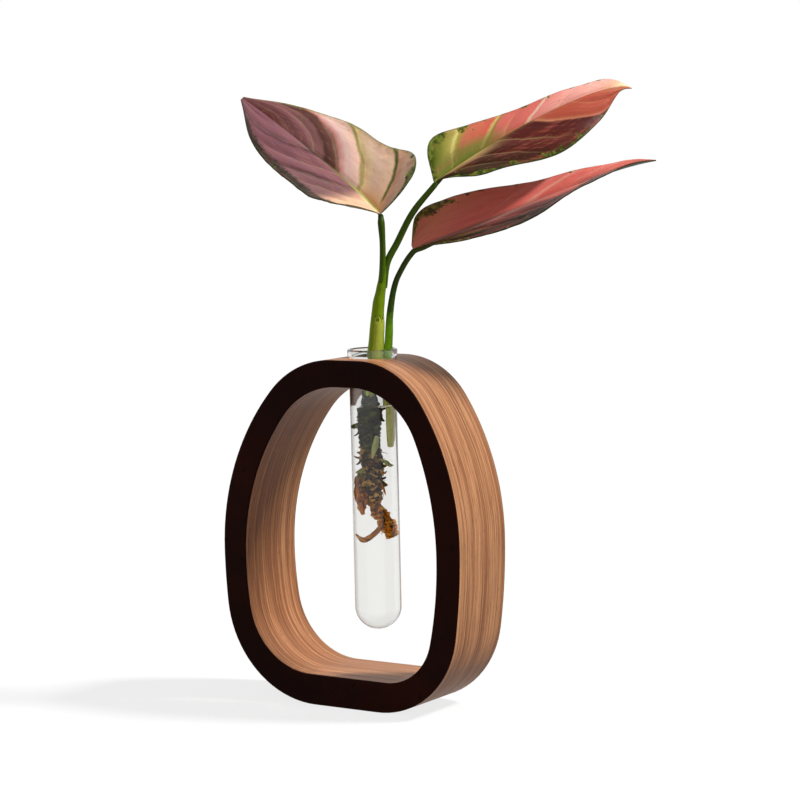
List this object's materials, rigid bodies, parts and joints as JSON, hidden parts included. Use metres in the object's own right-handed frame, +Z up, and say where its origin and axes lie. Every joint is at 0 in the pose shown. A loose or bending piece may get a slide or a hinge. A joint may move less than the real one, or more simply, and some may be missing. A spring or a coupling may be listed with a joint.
{
  "type": "hydroponic vase",
  "caption": "Rounded wooden ring standing on its flat foot, with a glass test tube of water hung through its crown and a rooted leafy cutting in the tube.",
  "frame": {"origin": "middle of the ring's flat underside", "axes": "+Z up, -Y out of the ring's front face, +X to the right of that face"},
  "size_m": [0.2203, 0.1309, 0.329],
  "materials": {
    "walnut": "satin oiled walnut, near-black front and back faces",
    "glass": "clear, polished",
    "water": "clear water",
    "sheath": "yellow-green, satin",
    "petiole": "dark green, satin",
    "cane": "green-black, wet",
    "root_brown": "brown-green, rough",
    "root_amber": "amber, rough",
    "bud": "pale green, satin",
    "leaf_mauve": "pink and green mottled, satin",
    "leaf_coral": "coral red with green margins, satin"
  },
  "bodies": {
    "ring": {"wooden_ring": "walnut"},
    "tube": {"test_tube": "glass", "water": "water"},
    "cutting": {"stem_sheath": "sheath", "petiole_left": "petiole", "petiole_upper_right": "petiole", "petiole_lower_right": "petiole", "cane": "cane", "rhizome": "root_brown", "root_lower": "root_amber", "root_left": "root_amber", "root_thin": "root_amber", "bud_scale": "bud", "side_shoot": "bud", "cut_stub": "root_brown", "root_fibre_upper": "root_brown", "root_fibre_lower": "root_brown", "leaf_left": "leaf_mauve", "leaf_upper_right": "leaf_coral", "leaf_lower_right": "leaf_coral"}
  },
  "joints": [
    {"name": "tube_lift", "type": "slide", "parent": "ring", "child": "tube", "axis": [0, 0, 1], "range_m": [0, 0.155]},
    {"name": "cutting_lift", "type": "slide", "parent": "tube", "child": "cutting", "axis": [0, 0, 1], "range_m": [0, 0.12], "deforming": ["water"]}
  ]
}
